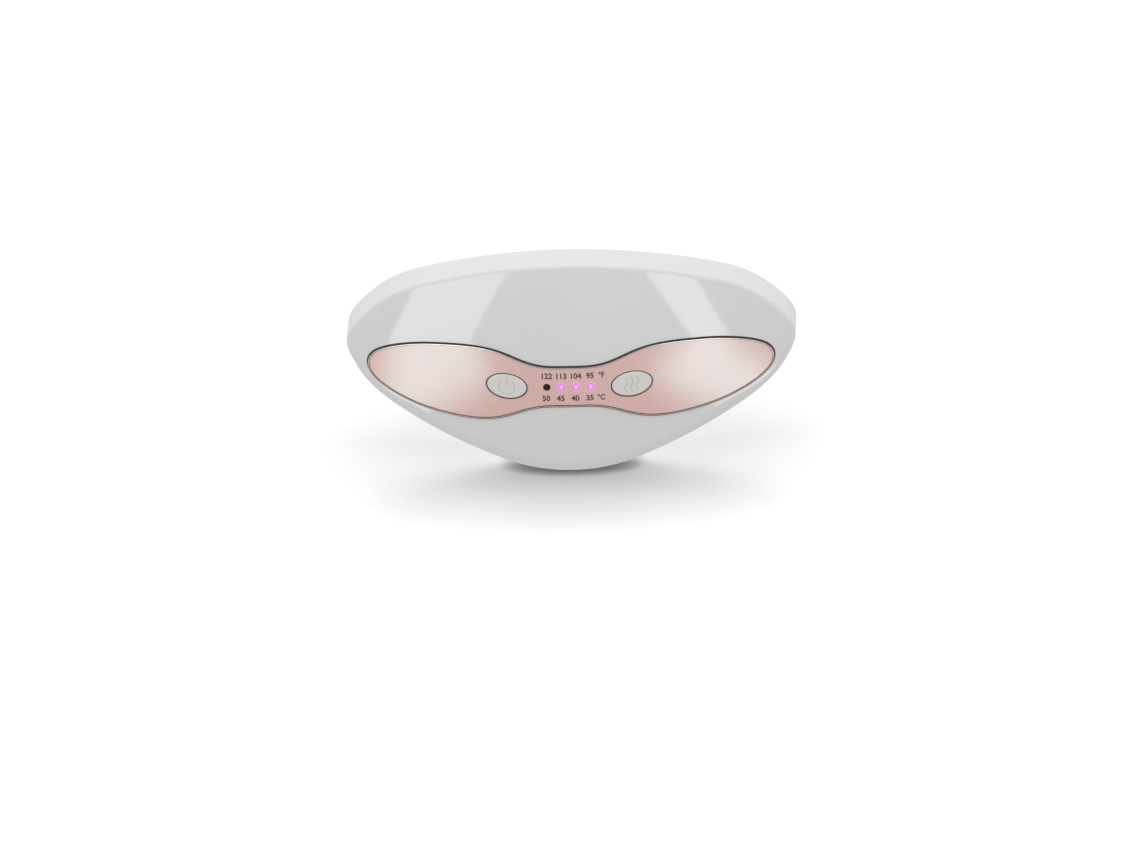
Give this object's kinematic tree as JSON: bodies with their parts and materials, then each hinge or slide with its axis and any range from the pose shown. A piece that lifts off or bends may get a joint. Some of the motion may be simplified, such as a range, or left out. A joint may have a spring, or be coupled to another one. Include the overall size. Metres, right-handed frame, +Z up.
{
  "type": "eye massager mask",
  "caption": "Heated vibrating eye massager mask: curved glossy housing, rose-gold control panel with two press buttons and indicator lights, soft face cushion.",
  "frame": {"origin": "on the centre plane, on the line of the two buttons, where the rear of the cushion meets the wearer's face", "axes": "+Z up as worn, -Y out of the glossy front, +Y towards the wearer, +X to the right as seen from the front"},
  "size_m": [0.196, 0.0734, 0.0954],
  "materials": {
    "white_gloss": "glossy moulded plastic",
    "white_matte": "fine satin moulding",
    "dark_chrome": "smoked mirror plating",
    "rose_gold": "satin metallised rose gold",
    "button_grey": "satin",
    "lens": "clear tinted light pipe",
    "led": "diffuse",
    "board_green": "solder mask",
    "black_plastic": "moulded",
    "steel": "plated",
    "brass": "machined",
    "battery_wrap": "shrink wrap",
    "heater_film": "polyimide film",
    "cushion_fabric": "soft knit over foam",
    "pad_fabric": "fine knit over foam",
    "cable_jacket": "flexible jacket"
  },
  "bodies": {
    "housing": {"front_shell": "white_gloss", "rear_shell": "white_matte", "left_strap_lug": "white_matte", "right_strap_lug": "white_matte", "panel_trim": "dark_chrome", "control_panel": "rose_gold", "power_bezel": "rose_gold", "heat_bezel": "rose_gold", "led_lens_1": "lens", "led_lens_2": "lens", "led_lens_3": "lens", "led_lens_4": "lens", "led_1": "led", "led_2": "led", "led_3": "led", "led_4": "led", "control_board": "board_green", "port_board": "board_green", "controller_chip": "black_plastic", "power_switch": "black_plastic", "heat_switch": "black_plastic", "battery_tray": "black_plastic", "left_motor_cradle": "black_plastic", "right_motor_cradle": "black_plastic", "left_thermistor": "black_plastic", "right_thermistor": "black_plastic", "housing_screw_1": "steel", "housing_screw_2": "steel", "housing_screw_3": "steel", "housing_screw_4": "steel", "housing_screw_5": "steel", "housing_screw_6": "steel", "board_screw_1": "steel", "board_screw_2": "steel", "charge_port": "steel", "left_motor": "steel", "right_motor": "steel", "battery_cell": "battery_wrap", "left_heater_film": "heater_film", "right_heater_film": "heater_film", "face_cushion": "cushion_fabric", "left_eye_pad": "pad_fabric", "right_eye_pad": "pad_fabric", "battery_cable": "cable_jacket", "port_cable": "cable_jacket", "left_motor_cable": "cable_jacket", "right_motor_cable": "cable_jacket", "left_heater_cable": "cable_jacket", "right_heater_cable": "cable_jacket"},
    "power_button": {"power_button": "button_grey", "power_switch_plunger": "black_plastic"},
    "heat_button": {"heat_button": "button_grey", "heat_switch_plunger": "black_plastic"},
    "left_weight": {"left_weight": "brass"},
    "right_weight": {"right_weight": "brass"}
  },
  "joints": [
    {"name": "power_button_press", "type": "slide", "parent": "housing", "child": "power_button", "axis": [0, 1, 0], "range_m": [0, 0.0006], "stiffness_N_per_m": 2500},
    {"name": "heat_button_press", "type": "slide", "parent": "housing", "child": "heat_button", "axis": [0, 1, 0], "range_m": [0, 0.0006], "stiffness_N_per_m": 2500},
    {"name": "left_motor_spin", "type": "hinge", "parent": "housing", "child": "left_weight", "pos_m": [-0.062, -0.007, 0.014], "axis": [0, 0, 1], "continuous": true},
    {"name": "right_motor_spin", "type": "hinge", "parent": "housing", "child": "right_weight", "pos_m": [0.062, -0.007, 0.014], "axis": [0, 0, 1], "continuous": true}
  ]
}
